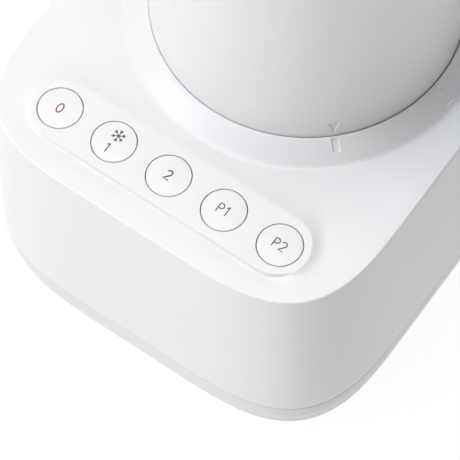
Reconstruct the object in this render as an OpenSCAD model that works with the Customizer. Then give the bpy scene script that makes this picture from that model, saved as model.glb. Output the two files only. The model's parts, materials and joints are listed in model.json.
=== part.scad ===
/* [Base] */
// Width of the base across its flat sides, at the top rim
base_w = 175.7; // [174:0.1:179]
// Depth of the base from front rim to back rim
base_d = 212; // [210:1:220]
// Distance from the drive axis forward to the front rim
axis_to_front = 123.4; // [123:0.1:126]
// Height of the top rim above the surface the feet stand on
rim_z = 118; // [117.6:0.1:118.2]
// Height of the parting line between upper housing and bottom cover
seam_z = 23.4; // [22:0.1:24]
// Height of the rubber feet below the bottom cover
foot_h = 3.3; // [2.5:0.1:4]
// Outward draft of the walls, from rim to parting line
draft = 4.47; // [3:0.01:5]
// Squareness of the rounded corners (2 is circular)
corner_n = 3.4; // [2.6:0.1:4]
// Wall thickness of the housings
wall = 2.6; // [2.2:0.1:3]

/* [Button panel] */
// Distance between button centres
pitch = 27; // [26:0.1:27.5]
// Radius of each round button
button_r = 9.15; // [8.6:0.05:9.3]
// Gap around each button
button_gap = 0.45; // [0.3:0.05:0.6]
// Height of the raised button panel above the rim
panel_h = 1.35; // [1:0.05:2]
// Travel of each button
button_travel = 1.2; // [0.6:0.1:1.3]

/* [Jug seat] */
// Outer radius of the jug's collar
collar_r = 64.9; // [64:0.1:65]
// Outer radius of the flared seat ring where it meets the top
flare_r = 77; // [75:0.1:79]
// Height of the seat lip above the rim
flare_h = 7.5; // [7:0.1:8]
// Turn between the locked mark and the release mark, in degrees
twist = 41; // [35:1:42]

/* [Jug] */
// Height of the top edge of the collar
collar_top = 236; // [225:1:240]
// Height of the glass rim
glass_top = 378; // [377:1:378]
// Outer radius of the glass at its rim
glass_rim_r = 70; // [69:0.1:70]
// Thickness of the glass wall
glass_t = 3.6; // [3.4:0.1:3.8]

/* [Motor] */
// Radius of the motor shaft
shaft_r = 4; // [4:0.05:4]
// Length of the lamination stack
stack_l = 30; // [26:1:30]
// Radius of the rotor
rotor_r = 18.8; // [18:0.1:18.9]
// Number of fan blades
fan_blades = 11; // [7:1:15]
// Number of commutator bars
bars = 24; // [16:2:32]

/* [Hidden] */
$fn = 96;
eps = 0.01;
KQ = 20;
front_y = -axis_to_front;
back_y = front_y + base_d;
corner_top = 66.84;
corner_seam = 74.2;
lip_z = rim_z + flare_h;
seat_r = collar_r + 0.6;
deck_u = rim_z - wall;
btn_y = -96.6;
btn_x0 = -0.4;
panel_z = rim_z + panel_h;
panel_hh = 13.9;
panel_hl = 66.3;
panel_foot = 5.2;
mark_depth = 0.8;
cover_top = seam_z - 0.3;
shell_bot = seam_z + 0.2;
posts = [[70, -100], [-70, -100], [70, 66], [-70, 66]];
feet = [[52, -97], [-52, -97], [52, 62], [-52, 62]];
motor_posts = [[35, 26], [-35, 26], [35, -26], [-35, -26]];
board_posts = [[40.5, -87], [-40.5, -87], [40.5, -106], [-40.5, -106]];
stack_z = 58;
web_z = 150;
plunger_a = 90;
plunger_rad = 56.5;
gland_z = 39;
dog_w = 34;
white = [0.93, 0.93, 0.92];
steel = [0.72, 0.73, 0.75];

// ---- shared shapes ----

// radius of a unit superellipse at polar angle t
function se(t) = 1 / pow(pow(abs(cos(t)), corner_n) + pow(abs(sin(t)), corner_n), 1 / corner_n);

// base outline at height z, moved outwards by d, with corner size c
function ring(z, d, c) =
  let (hw = base_w / 2 + d, yf = front_y - d, yb = back_y + d)
  [for (q = [0:3]) for (k = [0:KQ])
    let (t = 90 * k / KQ, a = 90 * q + t,
         cx = (q == 0 || q == 3) ? hw - c : c - hw,
         cy = (q < 2) ? yb - c : yf + c)
    [cx + c * se(t) * cos(a), cy + c * se(t) * sin(a), z]];

// outward offset of the drafted wall at height z, and its corner size
function wall_d(z) = draft * (rim_z - z) / (rim_z - seam_z);
function wall_c(z) = corner_top + (corner_seam - corner_top) * (rim_z - z) / (rim_z - seam_z);
function wall_ring(z, inset = 0) = ring(z, wall_d(z) - inset, wall_c(z) - inset);

// closed solid through a list of rings; capped, or joined last to first
module loft(rings, loop = false) {
  n = len(rings[0]);
  m = len(rings);
  sides = [for (j = [0:(loop ? m - 1 : m - 2)]) for (i = [0:n - 1])
    let (a = j * n + i, b = ((j + 1) % m) * n + i,
         c = ((j + 1) % m) * n + (i + 1) % n, d = j * n + (i + 1) % n)
    each [[a, b, c], [a, c, d]]];
  caps = loop ? [] : [[for (i = [0:n - 1]) i], [for (i = [n - 1:-1:0]) (m - 1) * n + i]];
  polyhedron(points = [for (r = rings) each r], faces = concat(sides, caps), convexity = 6);
}

module at(list, z = 0) { for (p = list) translate([p[0], p[1], z]) children(); }
module tube(ro, ri, z0, z1) {
  translate([0, 0, z0]) difference() {
    cylinder(r = ro, h = z1 - z0);
    translate([0, 0, -1]) cylinder(r = ri, h = z1 - z0 + 2);
  }
}
module rod(r, z0, z1) { translate([0, 0, z0]) cylinder(r = r, h = z1 - z0); }
// rectangle with round corners, from exact squares and circles
module rrect(x, y, r) {
  square([x - 2 * r, y], center = true);
  square([x, y - 2 * r], center = true);
  for (i = [-1, 1]) for (j = [-1, 1]) translate([i * (x / 2 - r), j * (y / 2 - r)]) circle(r = r);
}
// sector of an annulus, centred on +X
module sector(ri, ro, w) {
  intersection() {
    difference() { circle(r = ro); circle(r = ri); }
    polygon(concat([[0, 0]], [for (k = [0:6]) let (a = -w / 2 + w * k / 6) [ro * 1.3 * cos(a), ro * 1.3 * sin(a)]]));
  }
}

// ---- base: shells ----

module shell() {
  loft([
    wall_ring(deck_u, wall + 0.9),
    wall_ring(deck_u - 1.2, wall),
    wall_ring(70, wall),
    wall_ring(shell_bot, wall),
    wall_ring(shell_bot, 0),
    wall_ring(55, 0),
    wall_ring(88, 0),
    wall_ring(rim_z - 0.8, 0),
    wall_ring(rim_z - 0.35, 0.12),
    wall_ring(rim_z - 0.1, 0.4),
    wall_ring(rim_z, 0.8)]);
}

// flared ring that rises as a cone to the jug's parting line, with a small fillet at its foot
module flare() {
  lip = seat_r + 0.3;
  foot = flare_r - 1.5;
  a = atan((flare_h - 0.15) / (foot - lip));
  rotate_extrude() polygon(concat(
    [[seat_r, rim_z - 1], [flare_r, rim_z - 1]],
    [for (k = [0:6]) let (u = k / 6)
      [flare_r * pow(1 - u, 2) + 2 * foot * u * (1 - u) + (foot - 1.5 * cos(a)) * u * u, rim_z + 1.5 * sin(a) * u * u]],
    [[lip, lip_z - 0.15], [lip - 0.15, lip_z], [seat_r, lip_z]]));
}

// outline of the button panel at height z above the rim, moved outwards by d
function panel_ring(z, d) =
  [for (s = [1, -1]) for (k = [0:24])
    let (a = 7.5 * k - 90 * s)
    [s * (panel_hl - panel_hh) + (panel_hh + d) * cos(a), btn_y + (panel_hh + d) * sin(a), rim_z + z]];

// raised panel with a hollow fillet round its foot
module panel() {
  loft(concat(
    [panel_ring(-1, panel_foot)],
    [for (d = [panel_foot, 3.9, 2.6, 1.3, 0.35]) panel_ring(panel_h * pow(1 - d / panel_foot, 2.4), d)],
    [panel_ring(panel_h, -0.35)]));
}

// recessed alignment marks on the flare, of even depth below its cone
module seat_marks() {
  slope = (flare_h - 0.15) / (flare_r - 1.5 - seat_r - 0.3);
  top = lip_z - 0.15 + 0.3 * slope - mark_depth;
  intersection() {
    translate([0, 0, rim_z - 1]) linear_extrude(14) {
      rotate([0, 0, -45.8]) translate([seat_r - 1, -1.6]) square([6.2, 3.2]);
      rotate([0, 0, -3.9]) polygon([[seat_r - 0.8, -6], [73.25, -3.2], [73, 2], [seat_r - 0.8, -0.85]]);
    }
    rotate_extrude() polygon([[seat_r - 2, top + 2 * slope], [seat_r - 2, 140], [seat_r + 8.5, 140], [seat_r + 8.5, top - 8.5 * slope]]);
  }
}

module upper_housing() {
  color(white) difference() {
    union() {
      shell();
      flare();
      panel();
      tube(13, 8, deck_u - 3.4, rim_z + 3);
      tube(51.7, 49.7, rim_z - 1, rim_z + 3.5);
      at(posts) rod(4.2, seam_z + 0.6, deck_u + 1);
      at(motor_posts) rod(5.5, deck_u - 7.4, deck_u + 1);
      at(board_posts) rod(3, 103.2, deck_u + 1);
      rotate([0, 0, plunger_a]) translate([plunger_rad, 0, 0]) rod(8, 97.5, deck_u + 1);
      translate([0, back_y + wall_d(gland_z) - wall, gland_z]) rotate([90, 0, 0]) cylinder(r = 11, h = 2.2);
    }
    translate([0, 0, deck_u - 4]) cylinder(r = 9, h = 14);
    for (k = [0:4]) translate([btn_x0 + (k - 2) * pitch, btn_y, 110]) cylinder(r = button_r + button_gap, h = 20);
    at(posts) rod(1.5, seam_z, 44);
    at(motor_posts) rod(2.5, deck_u - 9, deck_u - 1.4);
    at(board_posts) rod(1.1, 102, 111);
    rotate([0, 0, plunger_a]) translate([plunger_rad, 0, 0]) { rod(2.56, 96, 125); rod(5.2, 96, 112); }
    translate([0, back_y + 20, gland_z]) rotate([90, 0, 0]) cylinder(r = 7.1, h = 40);
    seat_marks();
  }
}

module bottom_cover() {
  color([0.9, 0.9, 0.89]) difference() {
    union() {
      loft([
        ring(foot_h, -0.4, 71),
        ring(foot_h + 0.9, 1.5, 71.2),
        ring(8, 2.6, 71.8),
        ring(14, 3.6, 73),
        ring(cover_top, 4.25, 74),
        ring(cover_top, 4.47 - wall - 0.3, 71.4),
        ring(cover_top + 3.6, 4.2 - wall - 0.3, 71.1),
        ring(cover_top + 3.6, 2.6 - wall - 0.3, 69.6),
        ring(14, 2 - wall - 0.3, 69.4),
        ring(foot_h + 3.6, 0.6 - wall, 68.2),
        ring(foot_h + 2.5, -2.4 - wall, 66)]);
      at(posts) rod(6, foot_h + 1, seam_z + 0.2);
      at(feet) rod(9.5, foot_h + 1, foot_h + 4.2);
      tube(42, 40, foot_h + 1, 17.5);
    }
    at(posts) { rod(3.6, -1, 14); rod(1.8, -1, 40); }
    at(feet) rod(8.1, -1, foot_h + 1.6);
    for (k = [-5:5]) let (l = 2 * sqrt(34 * 34 - 36 * k * k)) translate([k * 6 - 1.5, -l / 2, -1]) cube([3, l, 9.5]);
    for (s = [-1, 1]) for (k = [0:3]) translate([s * (50 + 6 * k) - 1.5, -32, -1]) cube([3, 64, 9.5]);
  }
}

module rubber_feet() {
  color([0.16, 0.16, 0.17]) at(feet) {
    rod(8, 0.8, foot_h + 1.6);
    cylinder(r1 = 7.2, r2 = 8, h = 0.8);
  }
}

module cover_screws() {
  color(steel) at(posts) difference() {
    union() { rod(1.5, 14, 38); rod(3.2, 11.4, 14); }
    for (a = [0, 90]) rotate([0, 0, a]) translate([-2, -0.4, 11]) cube([4, 0.8, 1.9]);
  }
}

// inlet bush that the mains lead would pass through
module cord_gland() {
  y0 = back_y + wall_d(gland_z);
  color([0.82, 0.82, 0.81]) translate([0, y0, gland_z]) rotate([90, 0, 0]) difference() {
    union() {
      translate([0, 0, -2.8]) cylinder(r1 = 7.6, r2 = 9.6, h = 1.8);
      translate([0, 0, -1.05]) cylinder(r = 9.6, h = 0.5);
      translate([0, 0, -0.6]) cylinder(r = 7, h = 6.6);
      translate([0, 0, 5]) cylinder(r = 9, h = 2.4);
    }
    translate([0, 0, -4]) cylinder(r = 3.4, h = 14);
  }
}

// ---- base: buttons and electronics ----

module push_button(k, c) {
  translate([btn_x0 + (k - 2) * pitch, btn_y, 0]) color(c) difference() {
    union() {
      rod(button_r, 113, panel_z - 0.4);
      translate([0, 0, panel_z - 0.4]) cylinder(r1 = button_r, r2 = button_r - 0.4, h = 0.4);
      rod(10.2, 113.2, 114.9);
      rod(2, 110.4, 114);
    }
    tube(7.6, 3.4, 112, panel_z - 1.8);
  }
}
module stop_button() push_button(0, white);
module speed_1_button() push_button(1, white);
module speed_2_button() push_button(2, white);
module pulse_1_button() push_button(3, white);
module pulse_2_button() push_button(4, white);

// rubber boot that keeps spills off the switches
module switch_boot() {
  color([0.32, 0.33, 0.35]) difference() {
    translate([0, btn_y, 103.2]) linear_extrude(5.7) rrect(122, 26, 3);
    translate([0, btn_y, 102]) linear_extrude(6) rrect(119.6, 23.6, 2);
    at(board_posts, 102) cylinder(r = 3.2, h = 9);
  }
}
module tact_switches() {
  for (k = [0:4]) translate([btn_x0 + (k - 2) * pitch, btn_y, 0]) {
    color([0.12, 0.12, 0.13]) translate([-3.1, -3.1, 103.2]) cube([6.2, 6.2, 3.4]);
    color([0.8, 0.8, 0.78]) rod(1.7, 106.5, 107.6);
  }
}
module control_board() {
  color([0.1, 0.36, 0.22]) difference() {
    translate([0, btn_y, 101.6]) linear_extrude(1.6) rrect(122, 27, 2);
    at(board_posts, 100) cylinder(r = 1.3, h = 5);
  }
}
module board_screws() {
  color(steel) at(board_posts) { rod(1.05, 101.5, 110); rod(2.5, 99.8, 101.6); }
}
module suppression_capacitor() {
  color([0.85, 0.68, 0.2]) translate([21, -97, 83]) linear_extrude(18.6) rrect(26, 11, 1.2);
}
module power_relay() {
  color([0.13, 0.2, 0.5]) translate([-22, -97, 86]) linear_extrude(15.6) rrect(20, 15, 1);
}
module terminal_block() {
  color([0.2, 0.5, 0.3]) difference() {
    translate([-53, -97, 91.6]) linear_extrude(10) rrect(12, 16, 0.6);
    for (k = [-1:1]) translate([-53, -97 + 5 * k, 95]) rotate([0, -90, 0]) cylinder(r = 1.4, h = 10);
  }
}

// ---- base: motor, fixed half ----

module stator_core() {
  color([0.45, 0.46, 0.48]) translate([0, 0, stack_z]) linear_extrude(stack_l) difference() {
    rrect(84, 66, 6);
    difference() {
      rrect(60, 52, 5);
      for (s = [0, 180]) rotate([0, 0, s]) {
        translate([20, -12]) square([12, 24]);
        sector(19, 24, 112);
      }
    }
    circle(r = 19.3);
    for (s = [-1, 1]) translate([s * 36.5, 0]) circle(r = 2.1);
  }
}
module field_coils() {
  color([0.72, 0.38, 0.16]) for (s = [-1, 1]) translate([s * 27, 0, stack_z + stack_l / 2]) rotate([0, 90, 0])
    translate([0, 0, -2.4]) linear_extrude(4.8) difference() {
      rrect(stack_l + 19, 45, 7);
      square([stack_l + 0.6, 24.6], center = true);
    }
}
module upper_bracket() {
  zt = 101;
  color([0.66, 0.67, 0.69]) difference() {
    union() {
      translate([0, 0, zt]) linear_extrude(3) difference() {
        rrect(86, 66, 7);
        for (i = [-1, 1]) translate([i * 22, 0]) rrect(12, 40, 3);
        for (j = [-1, 1]) translate([0, j * 23.5]) rrect(26, 10, 3);
      }
      rod(14, 98.5, 108.6);
      for (s = [-1, 1]) translate([s * 36.5 - 4.5, -7, stack_z + stack_l]) cube([9, 14, zt - stack_z - stack_l + 1]);
    }
    rod(6, 90, 112);
    rod(11, 101, 112);
    for (s = [-1, 1]) translate([s * 36.5, 0, 0]) rod(2.1, 80, 120);
    at(motor_posts) rod(4.1, 90, 120);
  }
}
module lower_bracket() {
  color([0.66, 0.67, 0.69]) difference() {
    union() {
      translate([0, 0, 27]) linear_extrude(4) { square([82, 15], center = true); square([15, 62], center = true); }
      rod(14, 24.5, 33);
      for (s = [-1, 1]) translate([s * 36.5 - 4.5, -7, 27]) cube([9, 14, stack_z - 27]);
      for (s = [-1, 1]) translate([-5, s * 26 - 4, 30]) cube([10, 8, 5]);
    }
    rod(11, 20, 31.5);
    rod(6, 20, 40);
    for (s = [-1, 1]) translate([s * 36.5, 0, 0]) rod(2.1, 20, 60);
  }
}
module ball_bearing(z) {
  translate([0, 0, z]) rotate_extrude() polygon([[shaft_r + 0.05, 0], [5.8, 0], [6.2, 0.4], [9.1, 0.4], [9.5, 0], [10.9, 0],
    [10.9, 7], [9.5, 7], [9.1, 6.6], [6.2, 6.6], [5.8, 7], [shaft_r + 0.05, 7]]);
}
module upper_bearing() { color(steel) ball_bearing(101.05); }
module lower_bearing() { color(steel) ball_bearing(24.45); }
module brush_holders() {
  color([0.78, 0.62, 0.3]) for (s = [0, 180]) rotate([0, 0, s]) difference() {
    translate([-5.2, 14.5, 35]) cube([10.4, 17, 11]);
    translate([-3.6, 10, 36.4]) cube([7.2, 20, 8.2]);
  }
}
module carbon_brushes() {
  color([0.15, 0.15, 0.16]) for (s = [0, 180]) rotate([0, 0, s]) difference() {
    translate([-3.5, 9, 36.5]) cube([7, 15, 8]);
    rod(11.15, 30, 50);
  }
}
module through_bolts() {
  color(steel) for (s = [-1, 1]) translate([s * 36.5, 0, 0]) { rod(2, 26, 104); rod(3.6, 24, 27); }
}
// rubber spools between the motor bracket and the housing posts
module motor_mounts() {
  color([0.14, 0.14, 0.15]) at(motor_posts) difference() {
    union() { rod(6, 98.6, 101); rod(4, 100, 105); rod(6, 104, deck_u - 7.4); }
    rod(2.6, 90, 120);
  }
}
module mount_screws() {
  color(steel) at(motor_posts) { rod(2.45, 97, 113); rod(4.6, 95.4, 98.6); }
}
module shaft_seal() {
  color([0.12, 0.12, 0.13]) rotate_extrude() polygon([[shaft_r + 0.06, 116.5], [9, 113.2], [9, 119.4], [7, 119.4], [shaft_r + 0.06, 117.6]]);
}

// ---- base: motor, turning half ----

module motor_shaft() {
  color([0.78, 0.79, 0.8]) { rod(shaft_r, 9, 129.9); rod(5.4, 31.8, 33.9); rod(5.4, 98, 100.8); }
}
module rotor_core() {
  color([0.4, 0.41, 0.43]) translate([0, 0, stack_z]) linear_extrude(stack_l) difference() {
    circle(r = rotor_r);
    circle(r = shaft_r + 0.02);
    for (k = [0:11]) rotate([0, 0, 30 * k]) { translate([13.6, 0]) circle(r = 2.4); translate([13, -0.9]) square([8, 1.8]); }
  }
}
module rotor_windings() {
  color([0.75, 0.4, 0.18]) {
    for (k = [0:11]) rotate([0, 0, 30 * k]) translate([13.6, 0, 0]) rod(2.2, stack_z - 2, stack_z + stack_l + 2);
    rotate_extrude() polygon([[5.6, 88.4], [16.6, 88.4], [17.4, 90], [16.6, 94.5], [13.5, 96.8], [9, 97], [5.6, 95]]);
    rotate_extrude() polygon([[5.6, 57.6], [16.6, 57.6], [17.4, 56], [16.6, 51.5], [13.5, 49.2], [9, 48.8], [5.6, 50]]);
  }
}
module commutator() {
  color([0.78, 0.45, 0.2]) difference() {
    union() { rod(11, 34, 48); rod(12.4, 45.4, 48); }
    rod(shaft_r + 0.02, 30, 50);
    for (k = [0:bars - 1]) rotate([0, 0, 360 * k / bars]) translate([9.4, -0.25, 33]) cube([5, 0.5, 18]);
  }
}
module cooling_fan() {
  color([0.25, 0.26, 0.28]) difference() {
    union() {
      rod(38, 20, 21.6);
      rod(9, 10, 23.4);
      for (k = [0:fan_blades - 1]) rotate([0, 0, 360 * k / fan_blades]) translate([0, 0, 10.5]) linear_extrude(10)
        polygon([[12, -0.9], [24, 2.2], [37.4, 8.4], [37, 10.4], [23.4, 4.2], [12, 0.9]]);
    }
    rod(shaft_r + 0.02, 0, 30);
  }
}
// male coupling with three driving dogs
module base_coupler() {
  color([0.2, 0.2, 0.21]) difference() {
    union() {
      rod(18, 121.6, 123.6);
      rod(10, 121.6, 133.4);
      translate([0, 0, 133.4]) cylinder(r1 = 10, r2 = 9, h = 0.6);
      for (k = [0:2]) rotate([0, 0, 120 * k]) {
        translate([0, 0, 122]) linear_extrude(11) sector(6, 17, dog_w);
        translate([0, 0, 132.9]) linear_extrude(1.1) sector(6, 16.2, dog_w - 5);
      }
    }
    rod(shaft_r + 0.02, 120, 130);
  }
}

// ---- jug lock and safety interlock ----

// underside height of the ring's cam at ring angle p from the plunger
function cam_z(p) = 119.3 + 2.5 * min(1, max(0, -p / twist));
module lock_ring() {
  color([0.86, 0.86, 0.85]) difference() {
    tube(61.6, 52, 118.3, 124.5);
    for (k = [0:3]) rotate([0, 0, 15 + 90 * k]) translate([57.7, -4.3, 117]) cube([6, 8.6, 9]);
    rotate([0, 0, plunger_a]) loft([for (k = [0:17]) let (p = -46 + 3 * k)
      [for (q = [[53, 117], [53, cam_z(p)], [60, cam_z(p)], [60, 117]]) [q[0] * cos(p), q[0] * sin(p), q[1]]]]);
  }
}
module interlock_plunger() {
  color([0.25, 0.26, 0.28]) rotate([0, 0, plunger_a]) translate([plunger_rad, 0, 0]) {
    rod(2.5, 103, 118.5);
    translate([0, 0, 118.5]) cylinder(r1 = 2.5, r2 = 2, h = 0.5);
    rod(4.6, 102.5, 104.2);
    rod(1.2, 98.9, 103);
  }
}
module plunger_spring() {
  turns = 3.5; n = 16; wr = 0.35; z0 = 97.9; z1 = 102.1; sr = 3.6;
  color(steel) rotate([0, 0, plunger_a]) translate([plunger_rad, 0, 0])
    loft([for (k = [0:turns * n]) let (a = 360 * k / n, z = z0 + (z1 - z0) * k / (turns * n))
      [for (j = [0:5]) let (b = 60 * j) [(sr - wr * cos(b)) * cos(a), (sr - wr * cos(b)) * sin(a), z + wr * sin(b)]]]);
}
module interlock_switch() {
  rotate([0, 0, plunger_a]) translate([plunger_rad, 0, 0]) {
    color([0.14, 0.14, 0.15]) difference() {
      translate([-5, -10, 86]) cube([10, 20, 11.5]);
      for (s = [-1, 1]) translate([-6, s * 6.5, 89]) rotate([0, 90, 0]) cylinder(r = 1.4, h = 12);
    }
    color([0.7, 0.15, 0.12]) rod(1, 97, 98.6);
    color(steel) for (s = [-1, 0, 1]) translate([-2, s * 6 - 0.4, 81]) cube([4, 0.8, 5.5]);
  }
}

// ---- jug ----

module jug_collar() {
  color(white) difference() {
    union() {
      rotate_extrude() polygon([
        [62.1, 118.6], [collar_r - 0.3, 118.6], [collar_r, 119], [collar_r, 130], [collar_r - 0.35, collar_top - 3],
        [collar_r - 0.6, collar_top - 1.2], [collar_r - 1.2, collar_top - 0.3], [63.4, collar_top], [62.4, collar_top],
        [62.1, collar_top - 0.5], [62.1, web_z + 3.5], [34, web_z + 3.5], [34, web_z], [62.1, web_z]]);
      for (k = [0:3]) rotate([0, 0, 15 + 90 * k]) translate([58, -4, 118.6]) cube([4.6, 8, 8]);
      for (k = [0:7]) rotate([0, 0, 22.5 + 45 * k]) translate([36, -0.9, web_z - 10]) cube([26.5, 1.8, 10.5]);
    }
    rotate([0, 0, -46]) translate([collar_r - 0.5, 0, 0]) rotate([90, 0, 90]) linear_extrude(4) polygon([[0, 127.8], [2.3, 135.2], [-2.3, 135.2]]);
  }
}
module blade_holder() {
  color([0.85, 0.85, 0.84]) difference() {
    union() {
      rod(46, web_z + 3.5, web_z + 6.5);
      translate([0, 0, web_z + 6.5]) cylinder(r1 = 22, r2 = 13, h = 4.5);
      rod(13, web_z - 8, web_z + 15);
      for (k = [0:5]) rotate([0, 0, 60 * k]) translate([12, -1, web_z - 4]) cube([20, 2, 8]);
    }
    rod(7, web_z - 9, web_z + 16);
  }
}
module jug_seal() {
  color([0.75, 0.75, 0.74]) tube(46, 37.2, web_z + 6.5, web_z + 8.5);
}
module blade_bush() {
  color([0.72, 0.55, 0.3]) tube(6.98, shaft_r + 0.05, web_z - 7, web_z + 12);
}
module blade_seal() {
  color([0.12, 0.12, 0.13]) tube(6.95, shaft_r + 0.06, web_z + 12.1, web_z + 15);
}

function glass_r(z) = 57 + (z - 160) * (glass_rim_r - 57) / (glass_top - 160);
// outward push of the pouring lip at angle a and height z
function lip_push(a, z) =
  let (w = max(0, (z - (glass_top - 21)) / 21), d = (a - 180) / 19)
  8 * pow(w, 2) * exp(-d * d);
function glass_ring(z, r, p = 1) = [for (i = [0:71]) let (a = 5 * i, q = r + p * lip_push(a, z)) [q * cos(a), q * sin(a), z]];
module glass_jug() {
  zb = web_z + 8.5;
  zt = glass_top;
  color([0.8, 0.88, 0.9, 0.4]) loft(concat(
    [glass_ring(zb, 36), glass_ring(zb, 49), glass_ring(zb + 1, 53), glass_ring(zb + 3.6, 56)],
    [for (z = [170, 200, 236, 280, 320, 345, zt - 21, zt - 17, zt - 13, zt - 9, zt - 6, zt - 3]) glass_ring(z, glass_r(z))],
    [glass_ring(zt - 0.8, glass_r(zt)), glass_ring(zt, glass_r(zt) - 0.9), glass_ring(zt, glass_r(zt) - glass_t + 0.9), glass_ring(zt - 0.8, glass_r(zt) - glass_t)],
    [for (z = [zt - 6, zt - 9, zt - 13, zt - 17, zt - 21, 345, 320, 280, 236, 200]) glass_ring(z, glass_r(z) - glass_t)],
    [glass_ring(172, glass_r(172) - glass_t), glass_ring(165.5, 51.5), glass_ring(163, 47.5), glass_ring(zb + 4, 42), glass_ring(zb + 4, 36)]
  ), loop = true);
}

// bar of rectangular section bent into a C, in the XZ plane
module c_profile() {
  difference() {
    union() {
      translate([60, 260]) square([54, 96]);
      translate([60, 242]) square([54, 132 - 16]);
      translate([60, 260]) square([72, 80]);
      translate([114, 260]) circle(r = 18);
      translate([114, 340]) circle(r = 18);
    }
    translate([50, 270]) square([54, 60]);
    translate([50, 258]) square([52, 84]);
    translate([50, 268]) square([64, 64]);
    translate([102, 270]) circle(r = 12);
    translate([102, 330]) circle(r = 12);
  }
}
module jug_handle() {
  color(white) difference() {
    translate([0, 12, 0]) rotate([90, 0, 0]) linear_extrude(24) c_profile();
    translate([0, 0, 160]) cylinder(r1 = glass_r(160) + 1.6, r2 = glass_r(378) + 1.6, h = 218);
  }
}
module handle_bands() {
  color(steel) for (z = [243.5, 345]) difference() {
    translate([0, 0, z]) cylinder(r1 = glass_r(z) + 1.5, r2 = glass_r(z + 11) + 1.5, h = 11);
    translate([0, 0, 160]) cylinder(r1 = glass_r(160) + 0.15, r2 = glass_r(378) + 0.15, h = 218);
  }
}

// ---- blade group ----

module jug_coupler() {
  color([0.2, 0.2, 0.21]) difference() {
    union() {
      rod(24, 136, 139.2);
      translate([0, 0, 139.2]) cylinder(r1 = 24, r2 = 23, h = 0.8);
      rod(9, 136, 141.5);
      tube(24, 18.6, 125, 137);
      for (k = [0:2]) rotate([0, 0, 37 + 120 * k]) translate([0, 0, 125]) linear_extrude(12) sector(10.8, 20, dog_w);
    }
    rod(shaft_r + 0.02, 136.6, 150);
  }
}
module blade_shaft() {
  color([0.78, 0.79, 0.8]) { rod(shaft_r, 136.6, 172); rod(6, web_z + 15.6, web_z + 18); rod(2.9, 171, 177); }
}
// plan outline of a two-winged blade with a round hub
function blade_plan(hub) =
  let (a0 = asin(5.5 / hub))
  [for (s = [0, 180]) each concat(
    [for (p = [[hub * cos(a0), -5.5], [19, -5.5], [29, -4.5], [30, -1.5], [26, 3], [18, 5], [hub * cos(a0), 5.5]]) [p[0] * cos(s), p[1] * cos(s)]],
    [for (i = [1:15]) let (a = s + a0 + (180 - 2 * a0) * i / 16) [hub * cos(a), hub * sin(a)]])];
// each wing is bent up or down by dz at its tip
module blade(z, dz, hub) {
  color([0.8, 0.81, 0.83]) translate([0, 0, z]) difference() {
    intersection() {
      rotate([90, 0, 0]) translate([0, 0, -20]) linear_extrude(40)
        polygon([[-30.5, dz], [-10, 0], [10, 0], [30.5, dz], [30.5, dz + 1.8], [10, 1.8], [-10, 1.8], [-30.5, dz + 1.8]]);
      translate([0, 0, -20]) linear_extrude(60) polygon(blade_plan(hub));
    }
    translate([0, 0, -6]) cylinder(r = shaft_r + 0.02, h = 20);
  }
}
module lower_blade() { blade(168, -3.9, 9); }
module upper_blade() { rotate([0, 0, 90]) blade(169.9, 8.9, 8.6); }
module blade_nut() {
  color([0.8, 0.81, 0.83]) difference() {
    union() { translate([0, 0, 171.8]) cylinder(r = 6.4, h = 4.6, $fn = 6); translate([0, 0, 176]) cylinder(r1 = 5.2, r2 = 3, h = 2.6); }
    rod(shaft_r + 0.02, 170, 172.1);
    rod(2.92, 170, 177.1);
  }
}

// ---- lid ----

module jug_lid() {
  zt = glass_top;
  color(white) rotate_extrude() polygon([
    [24.4, zt - 16], [27.2, zt - 16], [27.2, zt + 0.4], [61.6, zt + 0.4], [61.6, zt - 16], [64.2, zt - 16],
    [64.2, zt - 10.2], [63.2, zt - 10.2], [63.2, zt - 4.8], [64.2, zt - 4.8], [64.2, zt + 0.4],
    [71.2, zt + 0.4], [71.8, zt + 1], [71.6, zt + 2.6], [70.4, zt + 3.7], [68.6, zt + 4.2], [24.4, zt + 4.4]]);
}
module lid_seal() {
  zt = glass_top;
  color([0.75, 0.75, 0.74]) rotate_extrude() polygon([[63.25, zt - 10.1], [64.6, zt - 10.1], [65.2, zt - 9], [64.6, zt - 8], [65.2, zt - 7.2], [64.6, zt - 6], [64.6, zt - 4.9], [63.25, zt - 4.9]]);
}
module filler_cap() {
  zt = glass_top;
  color([0.85, 0.87, 0.88]) {
    rotate_extrude() polygon([[21.2, zt - 14], [23.8, zt - 14], [23.8, zt + 4.7], [27.4, zt + 4.7], [28, zt + 5.4],
      [27.6, zt + 7.4], [26, zt + 8.4], [0, zt + 8.8], [0, zt + 6], [21.2, zt + 5.6]]);
    translate([0, 0, zt + 8]) linear_extrude(6) rrect(44, 11, 5);
  }
}

upper_housing();
bottom_cover();
rubber_feet();
cover_screws();
cord_gland();
stop_button();
speed_1_button();
speed_2_button();
pulse_1_button();
pulse_2_button();
switch_boot();
tact_switches();
control_board();
board_screws();
suppression_capacitor();
power_relay();
terminal_block();
stator_core();
field_coils();
upper_bracket();
lower_bracket();
upper_bearing();
lower_bearing();
brush_holders();
carbon_brushes();
through_bolts();
motor_mounts();
mount_screws();
shaft_seal();
motor_shaft();
rotor_core();
rotor_windings();
commutator();
cooling_fan();
base_coupler();
lock_ring();
interlock_plunger();
plunger_spring();
interlock_switch();
jug_collar();
blade_holder();
jug_seal();
blade_bush();
blade_seal();
glass_jug();
jug_handle();
handle_bands();
jug_coupler();
blade_shaft();
lower_blade();
upper_blade();
blade_nut();
jug_lid();
lid_seal();
filler_cap();
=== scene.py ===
import bpy
import json
import math
import numpy as np
from mathutils import Vector, Matrix
from mathutils.geometry import delaunay_2d_cdt

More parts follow.
